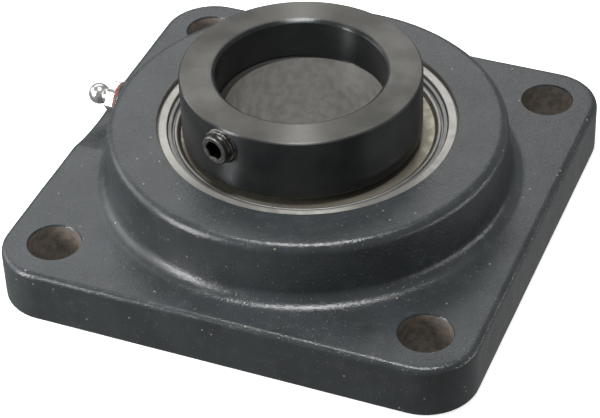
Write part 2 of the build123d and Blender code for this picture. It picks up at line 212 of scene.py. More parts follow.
def rounded(corners, shut=True, steps=4):
    """Outline with each (radius, height, rounding) corner turned into a tangent arc.

    The arc's centre lies on the corner's bisector at rounding / sin(half the angle), and
    its points are the spherical blend of its two end spokes.
    """
    corners = np.array(corners, float)
    at = corners[:, :2]
    rounding = np.maximum(corners[:, 2], 0.01)
    back = np.roll(at, 1, 0) - at
    ahead = np.roll(at, -1, 0) - at
    back /= np.linalg.norm(back, axis=1)[:, None]
    ahead /= np.linalg.norm(ahead, axis=1)[:, None]
    half = np.arccos(np.clip((back * ahead).sum(1), -0.9999, 0.9999)) / 2
    bisector = back + ahead
    bisector /= np.maximum(np.linalg.norm(bisector, axis=1), 1e-9)[:, None]
    centre = at + bisector * (rounding / np.sin(half))[:, None]
    spoke_in = at + back * (rounding / np.tan(half))[:, None] - centre
    spoke_out = at + ahead * (rounding / np.tan(half))[:, None] - centre
    sweep = (math.pi - 2 * half)[:, None, None]
    share = np.linspace(0, 1, steps + 1)[None, :, None]
    blend = np.sin((1 - share) * sweep) * spoke_in[:, None] + np.sin(share * sweep) * spoke_out[:, None]
    arcs = list(centre[:, None] + blend / np.sin(sweep))
    if not shut:
        arcs[0] = at[:1]
        arcs[-1] = at[-1:]
    return supported(np.concatenate(arcs), shut)


def supported(points, shut, near=0.2, longest=2.5):
    """Adds a point close to both ends of each long straight span, and evenly along it."""
    following = np.roll(points, -1, 0)
    spans = []
    for start, end in zip(points, following):
        length = np.linalg.norm(end - start)
        stops = [0.0]
        if length > 5 * near:
            inner = np.linspace(near, length - near, max(2, int(length / longest) + 1))
            stops += (inner / length).tolist()
        spans.append(start + (end - start) * np.array(stops)[:, None])
    if not shut:
        spans[-1] = points[-1:]
    return np.concatenate(spans)


def arc(centre, radius, start, end, steps):
    """Points of an arc in the (radius, height) plane between two angles in degrees."""
    angles = np.radians(np.linspace(start, end, steps))
    return np.stack([centre[0] + radius * np.cos(angles), centre[1] + radius * np.sin(angles)], -1)


def turned(name, profile, place, columns=192, shut=True, material=None, reach=None):
    """Profile of (radius, height) points carried round the local Z axis.

    reach, if given, changes each point's radius by its angle, radius and height.
    """
    angle = np.linspace(0, TURN, columns, endpoint=False)[None, :]
    radius = np.repeat(profile[:, :1], columns, axis=1)
    height = np.repeat(profile[:, 1:2], columns, axis=1)
    if reach:
        radius = reach(angle, radius, height)
    points = np.stack([radius * np.cos(angle), radius * np.sin(angle), height], -1)
    return surface(name, points, place, shut, material)


def prism(name, outline, low, high, place=upright, material=None):
    """Upright wall along a closed (x, y) outline, capped at two heights by flat fans."""
    centre = outline.mean(0)
    rows = []
    for height, share in ((low, 0.0), (low, 1.0), (high, 1.0), (high, 0.0)):
        flat = centre + (outline - centre) * share
        rows.append(np.column_stack([flat, np.full(len(flat), height)]))
    return surface(name, np.stack(rows), place, False, material)


def hexagon_reach(flats):
    """Radius of a hexagon by angle: half its width over the cosine of the angle to a flat."""
    def reach(angle):
        sixth = TURN / 6
        return flats / 2 / np.cos((angle + sixth / 2) % sixth - sixth / 2)
    return reach


def lumps(points, size, seed):
    """Smooth noise from -1 to 1: random numbers on a lattice of that size, blended between.

    Each lattice corner's number comes from mixing its three whole coordinates with the seed.
    """
    at = points / size
    base = np.floor(at).astype(np.int64)
    part = at - base
    part = part * part * (3 - 2 * part)
    total = np.zeros(points.shape[:-1])
    for step in np.ndindex(2, 2, 2):
        corner = base + np.array(step)
        mixed = corner[..., 0] * 73856093 ^ corner[..., 1] * 19349663 ^ corner[..., 2] * 83492791 ^ seed
        mixed = (mixed ^ (mixed >> 13)) * 1274126177 & 0x7FFFFFFF
        value = (mixed ^ (mixed >> 16)) % 10007 / 5003.0 - 1
        weight = np.prod(np.where(np.array(step) == 1, part, 1 - part), axis=-1)
        total += value * weight
    return total


def carve(piece, tools, operation="DIFFERENCE"):
    """Cuts tool meshes from a piece, or joins them to it, and keeps the tools' materials."""
    for tool in tools:
        modifier = piece.modifiers.new("carve", "BOOLEAN")
        modifier.operation = operation
        modifier.solver = "EXACT"
        modifier.material_mode = "TRANSFER"
        modifier.object = tool
    bpy.context.view_layer.update()
    seen = piece.evaluated_get(bpy.context.evaluated_depsgraph_get())
    result = bpy.data.meshes.new_from_object(seen)
    piece.modifiers.clear()
    piece.data = result
    for tool in tools:
        bpy.data.objects.remove(tool)
    return piece


def crease(piece, degrees):
    """Edges that bend more than this stay sharp in the shading."""
    piece.data.set_sharp_from_angle(angle=math.radians(degrees))


def fit(piece, body, slot, *nodes):
    """The piece moves with a body and stands for CAD nodes, which are hidden; slot is not used."""
    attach(piece, body)
    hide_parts(*nodes)


# Finishes.


class Finish:
    """A node material under construction, with short calls for the nodes it uses."""

    def __init__(self, name, place=upright):
        self.material = bpy.data.materials.new(name)
        self.material.use_nodes = True
        self.tree = self.material.node_tree
        self.shader = self.tree.nodes["Principled BSDF"]
        coordinates = self.tree.nodes.new("ShaderNodeTexCoord").outputs["Object"]
        self.at = self.local(coordinates, place)

    def add(self, kind, inputs=None, **settings):
        """A node with some of its settings and inputs; an input may be a socket or a value."""
        node = self.tree.nodes.new(kind)
        for key, value in settings.items():
            setattr(node, key, value)
        for key, value in (inputs or {}).items():
            if isinstance(value, bpy.types.NodeSocket):
                self.tree.links.new(value, node.inputs[key])
            else:
                node.inputs[key].default_value = value
        return node

    def local(self, coordinates, place):
        """Object coordinates seen from a local frame, by a dot product with each axis."""
        origin, axes = place
        if np.allclose(axes, np.eye(3)) and np.allclose(origin, 0):
            return coordinates
        shift = {0: coordinates, 1: tuple(origin * MM)}
        moved = self.add("ShaderNodeVectorMath", shift, operation="SUBTRACT").outputs[0]
        parts = {}
        for key, axis in zip("XYZ", axes.T):
            dot = self.add("ShaderNodeVectorMath", {0: moved, 1: tuple(axis)}, operation="DOT_PRODUCT")
            parts[key] = dot.outputs["Value"]
        return self.add("ShaderNodeCombineXYZ", parts).outputs[0]

    def noise(self, size, detail=2.0, at=None, roughness=0.5):
        """Noise from 0 to 1 with features of about this size in millimetres."""
        inputs = {"Vector": at or self.at, "Scale": 1 / (size * MM), "Detail": detail, "Roughness": roughness}
        return self.add("ShaderNodeTexNoise", inputs).outputs["Fac"]

    def stretched(self, scale):
        """Coordinates scaled by axis, for grain that runs one way."""
        inputs = {"Vector": self.at, "Scale": scale}
        return self.add("ShaderNodeMapping", inputs, vector_type="POINT").outputs[0]

    def math(self, operation, first, second=0.0, third=0.0):
        """One arithmetic node."""
        return self.add("ShaderNodeMath", {0: first, 1: second, 2: third}, operation=operation).outputs[0]

    def between(self, value, low, high, start=0.0, end=1.0):
        """Value from low to high becomes start to end, smoothly and held at the ends."""
        inputs = {"Value": value, "From Min": low, "From Max": high, "To Min": start, "To Max": end}
        return self.add("ShaderNodeMapRange", inputs, interpolation_type="SMOOTHSTEP").outputs[0]

    def mix(self, share, first, second):
        """Colour between two colours or sockets."""
        node = self.add("ShaderNodeMix", data_type="RGBA")
        for key, value in (("Factor", share), ("A", first), ("B", second)):
            socket = [s for s in node.inputs if s.name == key and s.enabled][0]
            if isinstance(value, bpy.types.NodeSocket):
                self.tree.links.new(value, socket)
            else:
                socket.default_value = value if isinstance(value, (int, float)) else (*value, 1.0)
        return [s for s in node.outputs if s.enabled][0]

    def specks(self, cell, inner, outer, rarity):
        """Small round dots, one in some of the cells of this size in millimetres."""
        cells = self.add("ShaderNodeTexVoronoi", {"Vector": self.at, "Scale": 1 / (cell * MM)})
        chosen = self.add("ShaderNodeSeparateColor", {0: cells.outputs["Color"]}).outputs[0]
        dot = self.between(cells.outputs["Distance"], inner, outer, 1.0, 0.0)
        return self.math("MULTIPLY", dot, self.between(chosen, rarity, rarity + 0.04))

    def brushed(self, amount):
        """Turning marks round the local axis, which stretch highlights across them."""
        self.shader.inputs["Anisotropic"].default_value = amount
        self.shader.inputs["Anisotropic Rotation"].default_value = 0.25
        return self.add("ShaderNodeTangent", direction_type="RADIAL", axis="Z").outputs[0]

    def radius(self):
        """Distance from the local Z axis, in millimetres."""
        apart = self.add("ShaderNodeSeparateXYZ", {0: self.at})
        square = self.math("MULTIPLY", apart.outputs[0], apart.outputs[0])
        square = self.math("MULTIPLY_ADD", apart.outputs[1], apart.outputs[1], square)
        return self.math("DIVIDE", self.math("SQRT", square), MM)

    def height(self):
        """Height along the local Z axis, in millimetres."""
        return self.math("DIVIDE", self.add("ShaderNodeSeparateXYZ", {0: self.at}).outputs[2], MM)

    def bump(self, height, depth, below=None):
        """Bump of a given depth in millimetres, on top of another bump."""
        inputs = {"Height": height, "Distance": depth * MM, "Strength": 1.0}
        if below:
            inputs["Normal"] = below
        return self.add("ShaderNodeBump", inputs).outputs["Normal"]

    def set(self, **sockets):
        """Links sockets or sets constants on the shader; underscores stand for spaces."""
        for key, value in sockets.items():
            socket = self.shader.inputs[key.replace("_", " ")]
            if isinstance(value, bpy.types.NodeSocket):
                self.tree.links.new(value, socket)
            else:
                socket.default_value = (*value, 1.0) if isinstance(value, tuple) else value
        return self.material


def painted_iron():
    """Glossy blue-grey paint over cast iron: fine grain, small raised dots painted light grey as glints, and a few
    tan grits.
    """
    finish = Finish("painted_iron")
    broad = finish.noise(16, 3)
    patch = finish.noise(4.0, 4)
    grain = finish.noise(0.8, 4, roughness=0.65)
    colour = finish.mix(finish.between(broad, 0.35, 0.65), (0.029, 0.034, 0.036), (0.038, 0.044, 0.047))
    colour = finish.mix(finish.between(patch, 0.5, 0.75, 0.0, 0.35), colour, (0.049, 0.052, 0.052))
    pits = finish.between(finish.noise(0.7, 4), 0.30, 0.40, 0.45, 0.0)
    colour = finish.mix(pits, colour, (0.014, 0.016, 0.017))
    # Painted glints: small raised dots made light grey, standing in for glints of light on the paint's grain.
    painted_glint_dots = finish.specks(1.2, 0.10, 0.20, 0.55)
    grit = finish.specks(3.0, 0.06, 0.12, 0.66)
    colour = finish.mix(finish.math("MULTIPLY", painted_glint_dots, 0.3), colour, (0.24, 0.25, 0.25))
    colour = finish.mix(finish.math("MULTIPLY", grit, 0.6), colour, (0.46, 0.37, 0.25))
    rough = finish.between(patch, 0.3, 0.7, 0.18, 0.28)
    normal = finish.bump(patch, 0.05)
    normal = finish.bump(grain, 0.13, normal)
    normal = finish.bump(painted_glint_dots, 0.05, normal)
    finish.shader.inputs["Specular IOR Level"].default_value = 0.55
    return finish.set(Base_Color=colour, Roughness=rough, Normal=normal)


def drilled_iron():
    """Bare wall of a drilled hole: brown film over grey iron, with rings from the drill."""
    finish = Finish("drilled_iron")
    rings = finish.noise(0.35, 2, finish.stretched((0.12, 0.12, 1.0)))
    film = finish.noise(2.0, 4)
    colour = finish.mix(finish.between(film, 0.38, 0.62), (0.30, 0.25, 0.205), (0.185, 0.165, 0.145))
    colour = finish.mix(finish.between(rings, 0.5, 0.7, 0.0, 0.35), colour, (0.36, 0.33, 0.29))
    normal = finish.bump(rings, 0.05)
    rough = finish.between(film, 0.3, 0.7, 0.42, 0.6)
    return finish.set(Base_Color=colour, Metallic=0.2, Roughness=rough, Normal=normal)


def machined_iron():
    """Turned or milled iron face: fine arcs, dull grey with a brown tint."""
    finish = Finish("machined_iron")
    tool = finish.math("FRACT", finish.math("DIVIDE", finish.radius(), 0.45))
    stain = finish.noise(9, 4)
    colour = finish.mix(finish.between(stain, 0.35, 0.7), (0.30, 0.29, 0.27), (0.20, 0.18, 0.155))
    normal = finish.bump(tool, 0.02)
    normal = finish.bump(finish.noise(0.4, 2), 0.02, normal)
    rough = finish.between(stain, 0.3, 0.7, 0.34, 0.5)
    return finish.set(Base_Color=colour, Metallic=0.85, Roughness=rough, Normal=normal)


def ground_steel():
    """Ground bearing steel under an oil film: grinding lines round the axis and soft blotches, with painted shade
    on the inner ring's top inside the collar.
    """
    finish = Finish("ground_steel", in_insert)
    lines = finish.noise(0.25, 2, finish.stretched((0.05, 0.05, 1.0)))
    blotch = finish.noise(2.4, 4)
    scratch = finish.noise(0.6, 3)
    speck = finish.between(finish.noise(0.5, 3), 0.28, 0.36, 0.55, 0.0)
    radius = finish.radius()
    height = finish.height()
    colour = finish.mix(finish.between(blotch, 0.36, 0.66), (0.66, 0.64, 0.61), (0.54, 0.52, 0.49))
    colour = finish.mix(finish.between(radius, seal_seat - 2, seal_seat - 1), colour, (0.36, 0.35, 0.325))
    # Painted shade: the top of the inner ring, which sits in the gap under the collar, is made dark.
    edge = finish.between(height, inner_ring_top - 1.0, inner_ring_top - 0.7)
    colour = finish.mix(edge, colour, (0.07, 0.068, 0.065))
    colour = finish.mix(speck, colour, (0.22, 0.21, 0.20))
    normal = finish.bump(lines, 0.012)
    normal = finish.bump(scratch, 0.012, normal)
    rough = finish.between(blotch, 0.3, 0.7, 0.28, 0.42)
    around = finish.brushed(0.8)
    return finish.set(Base_Color=colour, Metallic=0.6, Roughness=rough, Normal=normal, Tangent=around)


def bright_steel():
    """Polished ball steel with a faint oil haze."""
    finish = Finish("bright_steel")
    haze = finish.noise(4, 3)
    normal = finish.bump(finish.noise(0.8, 2), 0.004)
    colour = finish.mix(finish.between(haze, 0.35, 0.65), (0.62, 0.62, 0.61), (0.54, 0.54, 0.52))
    rough = finish.between(haze, 0.3, 0.7, 0.08, 0.2)
    return finish.set(Base_Color=colour, Metallic=1.0, Roughness=rough, Normal=normal)


def shield_steel():
    """Pressed shield: warm tan flat, painted shade on the step up to the shoulder, grey shoulder and rim, with
    drawing marks.
    """
    finish = Finish("shield_steel", in_insert)
    radius = finish.radius()
    blotch = finish.noise(3, 4)
    wave = finish.math("MULTIPLY_ADD", blotch, 0.3, radius)
    tan = finish.mix(finish.between(blotch, 0.35, 0.7), (0.36, 0.33, 0.265), (0.27, 0.25, 0.20))
    # Painted shade: the step from the tan flat up to the shoulder is made darker.
    colour = finish.mix(finish.between(wave, 34.55, 34.85), tan, (0.15, 0.145, 0.115))
    colour = finish.mix(finish.between(wave, 35.4, 35.8), colour, (0.30, 0.295, 0.275))
    colour = finish.mix(finish.between(wave, 36.3, 36.5), colour, (0.20, 0.20, 0.195))
    lines = finish.noise(0.2, 2)
    normal = finish.bump(lines, 0.012)
    return finish.set(
        Base_Color=colour, Metallic=0.75, Roughness=finish.between(blotch, 0.3, 0.7, 0.34, 0.5), Normal=normal
    )


def black_oxide():
    """Black oxide on turned steel: the end face is a warm grey, the side stays dark."""
    finish = Finish("black_oxide", in_collar)
    radius = finish.radius()
    height = finish.height()
    cloud = finish.noise(9, 4)
    fleck = finish.noise(0.8, 4, roughness=0.65)
    face = finish.between(height, collar_top - 0.35, collar_top - 0.12)
    face = finish.math("MULTIPLY", face, finish.between(radius, collar_bore + 0.8, collar_bore + 1.1))
    dark = finish.mix(finish.between(cloud, 0.35, 0.65), (0.036, 0.039, 0.041), (0.046, 0.048, 0.049))
    dark = finish.mix(finish.between(fleck, 0.62, 0.74, 0.0, 0.5), dark, (0.09, 0.09, 0.086))
    # End face colour: a lighter warm grey than the side.
    end_face_grey = finish.mix(finish.between(cloud, 0.35, 0.7), (0.112, 0.110, 0.101), (0.094, 0.092, 0.085))
    end_face_grey = finish.mix(finish.between(fleck, 0.3, 0.5, 0.4, 0.0), end_face_grey, (0.070, 0.069, 0.064))
    colour = finish.mix(face, dark, end_face_grey)
    side = finish.noise(0.3, 2, finish.stretched((0.04, 0.04, 1.0)))
    normal = finish.bump(side, 0.010)
    normal = finish.bump(fleck, 0.016, normal)
    rough = finish.between(cloud, 0.3, 0.7, 0.27, 0.36)
    rough = finish.math("MULTIPLY_ADD", face, 0.05, rough)
    around = finish.brushed(0.9)
    return finish.set(Base_Color=colour, Metallic=0.75, Roughness=rough, Normal=normal, Tangent=around)


def screw_steel():
    """Black oxide with painted highlights on the thread's crests and a lighter grey at the screw's end."""
    finish = Finish("screw_steel", in_screw)
    radius = finish.radius()
    fleck = finish.noise(0.7, 4)
    # Painted highlight: the thread's crests are made a lighter grey.
    crest = finish.between(radius, screw_radius - 0.45, screw_radius - 0.1)
    crest = finish.math("MULTIPLY", crest, finish.between(fleck, 0.35, 0.6, 0.2, 0.8))
    face = finish.between(finish.height(), screw_length - 0.5, screw_length - 0.1)
    face = finish.math("MULTIPLY", face, finish.between(fleck, 0.25, 0.5, 0.35, 1.0))
    colour = finish.mix(crest, (0.030, 0.030, 0.029), (0.24, 0.23, 0.21))
    colour = finish.mix(face, colour, (0.17, 0.165, 0.155))
    return finish.set(
        Base_Color=colour,
        Metallic=0.9,
        Roughness=finish.between(fleck, 0.3, 0.7, 0.28, 0.45),
        Normal=finish.bump(fleck, 0.02),
    )


def zinc_plate():
    """Bright zinc plating, slightly clouded."""
    finish = Finish("zinc_plate")
    cloud = finish.noise(1.6, 4)
    colour = finish.mix(finish.between(cloud, 0.35, 0.7), (0.80, 0.81, 0.79), (0.62, 0.64, 0.61))
    return finish.set(
        Base_Color=colour,
        Metallic=0.95,
        Roughness=finish.between(cloud, 0.3, 0.7, 0.16, 0.32),
        Normal=finish.bump(finish.noise(0.5, 3), 0.012),
    )


def dull(name, light, dark, metallic, rough, size, depth):
    """Plain finish with mottled colour and a fine bump, for the small and hidden pieces."""
    finish = Finish(name)
    cloud = finish.noise(size, 4)
    colour = finish.mix(finish.between(cloud, 0.35, 0.68), light, dark)
    return finish.set(
        Base_Color=colour,
        Metallic=metallic,
        Roughness=finish.between(cloud, 0.3, 0.7, rough, rough + 0.15),
        Normal=finish.bump(finish.noise(size / 4, 3), depth),
    )


finishes = {
    "painted_iron": painted_iron(),
    "drilled_iron": drilled_iron(),
    "machined_iron": machined_iron(),
    "ground_steel": ground_steel(),
    "bright_steel": bright_steel(),
    "shield_steel": shield_steel(),
    "black_oxide": black_oxide(),
    "screw_steel": screw_steel(),
    "zinc_plate": zinc_plate(),
    "seal_rubber": dull("seal_rubber", (0.022, 0.022, 0.022), (0.014, 0.014, 0.014), 0.0, 0.55, 1.5, 0.03),
    "cage_steel": dull("cage_steel", (0.46, 0.44, 0.41), (0.32, 0.30, 0.27), 0.9, 0.3, 2.5, 0.02),
    "red_fibre": dull("red_fibre", (0.26, 0.055, 0.045), (0.15, 0.035, 0.03), 0.0, 0.55, 1.0, 0.05),
    "spring_wire": dull("spring_wire", (0.46, 0.45, 0.44), (0.36, 0.35, 0.34), 1.0, 0.25, 1.0, 0.01),
}


# Pieces.


def square_reach(angle, inset):
    """Distance from the centre to the flange's outline, moved in by inset.

    On a side it is the half width over the cosine of the angle to that side. At a corner
    the ray meets the corner's circle.
    """
    quarter = TURN / 4
    turned_in = np.abs((angle + quarter / 2) % quarter - quarter / 2)
    half = flange_half - inset
    corner = flange_corner - inset
    centre = half - corner
    side = half / np.cos(turned_in)
    lean = np.cos(turned_in) - np.sin(turned_in)
    inside = np.maximum(corner**2 - (centre * lean) ** 2, 0)
    round_part = centre * (np.cos(turned_in) + np.sin(turned_in)) + np.sqrt(inside)
    return np.where(side * np.sin(turned_in) <= centre, side, round_part)


def dip_at(across):
    """Depth of the grease-gun dip by distance across it: a circle's arc below the flange."""
    radius = (dip_half_width**2 + dip_depth**2) / (2 * dip_depth)
    offset = np.clip(across - dip_centre, -dip_half_width, dip_half_width)
    return dip_depth - (radius - np.sqrt(radius**2 - offset**2))


def housing_rows(angle):
    """Rows of the casting's skin as (radius, height, roughness) arrays over the angle.

    They run from the seat's edge over the boss, down its side, across the flange to its
    outline, down, back under the flange and up through the bore to the seat.
    """
    rows = []

    def band(start, end, count, rough, last=False):
        for share in np.linspace(0, 1, count, endpoint=last):
            radius = start[0] + (end[0] - start[0]) * share
            height = start[1] + (end[1] - start[1]) * share
            rows.append((radius + 0 * angle, height + 0 * angle, rough))

    def bend(radius_at, height_at, size, start, end, count, rough):
        for turn in np.radians(np.linspace(start, end, count, endpoint=False)):
            radius = radius_at(size * math.cos(turn))
            rows.append((radius + 0 * angle, height_at + size * math.sin(turn) + 0 * angle, rough))

    mouth = math.sqrt(seat_radius**2 - half_ring**2)
    flat = boss_side - boss_edge
    foot_top = flange_thickness + boss_foot
    foot_reach = boss_foot_side + boss_foot
    side_top = flange_thickness - flange_edge
    under = 0.8
    chamfer = 1.2
    outline = square_reach(angle, 0.0)
    band((mouth, seat_height + half_ring), (mouth, boss_height - 0.1), 3, 0.0)
    band((mouth + 0.1, boss_height), (mouth + 1.0, boss_height), 3, 0.1)
    band((mouth + 1.0, boss_height), (flat, boss_height), 18, 1.0)
    bend(lambda out: flat + out, boss_height - boss_edge, boss_edge, 90, 0, 9, 0.8)
    band((boss_side, boss_height - boss_edge), (boss_foot_side, foot_top), 18, 1.0)
    bend(lambda out: foot_reach + out, foot_top, boss_foot, 180, 270, 11, 1.0)
    band((foot_reach, flange_thickness), (square_reach(angle, flange_edge), flange_thickness), 30, 1.0)
    bend(lambda out: square_reach(angle, flange_edge - out), side_top, flange_edge, 90, 0, 8, 0.7)
    band((outline, side_top), (outline, under), 22, 1.1)
    band((outline, under), (square_reach(angle, under), 0), 3, 0.3)
    band((square_reach(angle, under), 0), (mouth + chamfer, 0), 12, 0.0)
    band((mouth + chamfer, 0), (mouth, chamfer), 3, 0.0)
    band((mouth, chamfer), (mouth, seat_height - half_ring), 6, 0.0)
    for height in np.linspace(-half_ring, half_ring, 16, endpoint=False):
        radius = math.sqrt(seat_radius**2 - height**2)
        rows.append((radius + 0 * angle, seat_height + height + 0 * angle, 0.0))
    return rows


def make_housing():
    """Casting skin: rows of rings, lowered at the dip, then pushed along their normals by lumps."""
    columns = 520
    angle = np.linspace(0, TURN, columns, endpoint=False)
    rows = housing_rows(angle)
    radius = np.stack([row[0] for row in rows])
    height = np.stack([row[1] for row in rows])
    rough = np.array([row[2] for row in rows])[:, None]
    points = np.stack([radius * np.cos(angle), radius * np.sin(angle), height], -1)
    foot = boss_foot_side + boss_foot
    on_flange = np.clip((radius - foot + 1.5) / 3, 0, 1) * np.clip(height / flange_thickness, 0, 1)
    on_flange = on_flange * (height > 0.05) * (height < flange_thickness + 1.5)
    left = np.clip((-points[..., 0] - 45) / 4, 0, 1)
    points[..., 2] -= dip_at(points[..., 1]) * on_flange * left
    along = np.roll(points, -1, 1) - np.roll(points, 1, 1)
    down = np.roll(points, -1, 0) - np.roll(points, 1, 0)
    normal = np.cross(along, down)
    normal /= np.linalg.norm(normal, axis=-1, keepdims=True) + 1e-9
    outward = np.sign((normal[30] * points[30]).sum())
    push = 0.07 * lumps(points, 11.0, 11) + 0.025 * lumps(points, 3.4, 23) + 0.008 * lumps(points, 1.4, 37)
    points = points + normal * outward * (push * rough)[..., None]
    piece = surface("housing_casting", points, material=finishes["painted_iron"])
    mouth_rows = 3
    back_and_bore_rows = 37
    at_row = np.arange(len(rows))
    bare = np.repeat((at_row >= len(rows) - back_and_bore_rows) | (at_row < mouth_rows), columns)
    piece.data.materials.append(finishes["machined_iron"])
    piece.data.polygons.foreach_set("material_index", bare.astype(np.int32))
    carve(piece, [make_pad()], "UNION")
    carve(piece, hole_tools() + slot_tools())
    crease(piece, 40)
    fit(piece, "housing", "painted_iron", "housing")


def make_pad():
    """Round pad under the grease fitting, with a soft rim, along the fitting's axis."""
    pad_start = 50.0
    profile = rounded(
        [
            (0, pad_start, 0),
            (pad_radius, pad_start, 0.1),
            (pad_radius, pad_reach, 0.8),
            (0, pad_reach, 0),
        ],
        False,
    )
    return turned("pad", profile, in_fitting, 64, False, finishes["painted_iron"])


def hole_tools():
    """Four painted rims that roll into the holes, then the four drills themselves."""
    roll = 0.5
    rim_profile = rounded(
        [
            (0, flange_thickness - roll, 0),
            (bolt_hole, flange_thickness - roll, 0.02),
            (bolt_hole + roll, flange_thickness + roll, 0.4),
            (bolt_hole + roll, flange_thickness + 3, 0.1),
            (0, flange_thickness + 3, 0),
        ],
        False,
    )
    drill_profile = rounded(
        [(0, -2, 0), (bolt_hole, -2, 0.1), (bolt_hole, flange_thickness, 0.1), (0, flange_thickness, 0)],
        False,
    )
    tools = []
    for label, profile in (("painted_iron", rim_profile), ("drilled_iron", drill_profile)):
        for x in (-bolt_half, bolt_half):
            for y in (-bolt_half, bolt_half):
                place = (np.array([x, y, 0.0]), np.eye(3))
                tools.append(turned(label, profile, place, 96, False, finishes[label]))
    return tools


def slot_tools():
    """Cutters for the two loading slots and the anti-rotation pin's slot, open at the back."""
    slot_clearance = 0.4
    reach = sphere_radius + slot_clearance
    half = half_ring + 0.5
    lean = math.asin(half / reach)
    tools = []
    for side in (TURN / 4, 3 * TURN / 4):
        bow = np.linspace(side - lean, side + lean, 24)
        outer = reach * np.stack([np.cos(bow), np.sin(bow)], -1)
        inner = outer[[-1, 0]] * np.array([1.0, 0.6])
        outline = np.concatenate([outer, inner])
        tools.append(prism("slot", outline, -1, seat_height, material=finishes["machined_iron"]))
    pin_half = 2.04
    pin_inner = 30.0
    pin_outer = 44.3
    swivel = math.radians(3.0)
    pin_top = seat_height + sphere_radius * swivel + 2.5
    box = np.array(
        [(pin_inner, -pin_half), (pin_outer, -pin_half), (pin_outer, pin_half), (pin_inner, pin_half)]
    )
    tools.append(prism("slot", box, -1, pin_top, material=finishes["machined_iron"]))
    return tools


def race_points(centre, sign, land):
    """Half circle of a race between its two lands; sign is 1 for the outer ring."""
    half = math.degrees(math.acos((land - centre) / race_radius * sign))
    middle_angle = 0 if sign > 0 else 180
    return arc((centre, 0), race_radius, middle_angle + half, middle_angle - half, 25)


def make_outer_ring():
    """Outer ring: spherical outside, flat faces, seal seats and the deep race."""
    chamfer_height = half_ring - ring_chamfer
    tilt = math.degrees(math.asin(chamfer_height / sphere_radius))
    face = math.sqrt(sphere_radius**2 - chamfer_height**2) - ring_chamfer
    top = rounded(
        [
            (math.sqrt(sphere_radius**2 - chamfer_height**2), chamfer_height, 0.15),
            (face, half_ring, 0.25),
            (seal_seat, half_ring, 0.25),
            (seal_seat, seal_seat_floor, 0.15),
            (outer_land, seal_seat_floor, 0.15),
            (outer_land, 5.4, 0.05),
        ],
        False,
    )
    race = race_points(ball_circle + race_depth - race_radius, 1, outer_land)
    bottom = top[::-1] * np.array([1, -1])
    outside = arc((0, 0), sphere_radius, -tilt, tilt, 30)
    profile = np.concatenate([top, race, bottom, outside[1:-1]])
    piece = turned("outer_ring_body", profile, in_insert, 240, material=finishes["ground_steel"])
    crease(piece, 35)
    fit(piece, "outer_ring", "ground_steel", "outer_ring")


def make_inner_ring():
    """Inner ring: bore, race and the cam, whose circle is set off the axis."""
    race = race_points(ball_circle - race_depth + race_radius, -1, inner_land)
    rest = rounded(
        [
            (inner_land, 5.3, 0.05),
            (inner_land, cam_bottom, 0.5),
            (cam_radius, cam_bottom, 0.05),
            (cam_radius, inner_ring_top, 0.5),
            (shaft_radius + inner_bore_chamfer, inner_ring_top, 0.1),
            (shaft_radius, inner_ring_top - inner_bore_chamfer, 0.1),
            (shaft_radius, -half_ring, 0.6),
            (inner_land, -half_ring, 0.6),
            (inner_land, -5.3, 0.05),
        ],
        False,
    )
    profile = np.concatenate([rest, race[1:-1]])

    def cam(angle, radius, height):
        lean = angle - math.radians(cam_angle)
        shift = cam_offset * np.cos(lean) + np.sqrt(cam_radius**2 - (cam_offset * np.sin(lean)) ** 2)
        above = height > cam_bottom - 0.001
        inner = shaft_radius + inner_bore_chamfer
        share = np.clip((radius - inner) / (cam_radius - inner), 0, 1)
        return np.where(above & (radius < cam_radius + 0.01), radius + share * (shift - cam_radius), radius)

    piece = turned("inner_ring_body", profile, in_insert, 240, material=finishes["ground_steel"], reach=cam)
    crease(piece, 35)
    fit(piece, "inner_ring", "ground_steel", "inner_ring")


def shield_profile():
    """Outline of the pressed shield, from its inner rim over the shoulder to the crimped rim."""
    inner_rim = 29.3
    flat = half_ring - 2.5
    sheet = 0.55
    rim = seal_seat - 0.05
    rim_top = half_ring - 0.8
    shoulder = half_ring - 1.5
    groove = half_ring - 2.0
    foot = seal_seat_floor + 0.05
    return rounded(
        [
            (inner_rim, flat - sheet, 0.05),
            (inner_rim, flat, 0.15),
            (rim - 3.6, flat, 0.35),
            (rim - 2.75, shoulder - 0.1, 0.3),
            (rim - 2.45, shoulder, 0.2),
            (rim - 2.0, shoulder, 0.2),
            (rim - 1.85, groove, 0.05),
            (rim - 1.4, groove, 0.05),
            (rim - 1.25, rim_top, 0.2),
            (rim - 0.2, rim_top, 0.18),
            (rim, rim_top - 0.5, 0.2),
            (rim, foot, 0.1),
            (rim - sheet, foot, 0.1),
            (rim - sheet, groove - sheet, 0.1),
            (rim - 2.1, groove - sheet, 0.1),
            (rim - 2.1, shoulder - sheet, 0.1),
            (rim - 2.6, shoulder - sheet, 0.1),
            (rim - 3.35, flat - sheet, 0.2),
        ]
    )


def make_shields():
    """Front and rear shields from one profile, the rear one mirrored in height."""
    for side, sign in (("front", 1), ("rear", -1)):
        profile = shield_profile() * np.array([1, sign])
        piece = turned(f"{side}_shield_pressing", profile, in_insert, 240, material=finishes["shield_steel"])
        crease(piece, 45)
        fit(piece, "outer_ring", "shield_steel", f"{side}_seal_shield")


def thread(crest, depth, outward):
    """Radius of a helical V thread: a triangle wave of height less a turn's share of pitch."""
    def reach(angle, radius, height):
        phase = (height / screw_pitch - angle / TURN) % 1.0
        groove = np.clip(1.25 - 2.5 * np.abs(phase - 0.5) - 0.12, 0, 1)
        threaded = radius > crest - 0.02 if outward else (radius > crest - 0.02) & (radius < crest + 0.02)
        return np.where(threaded, radius + (1 if outward else -1) * depth * groove, radius)
    return reach


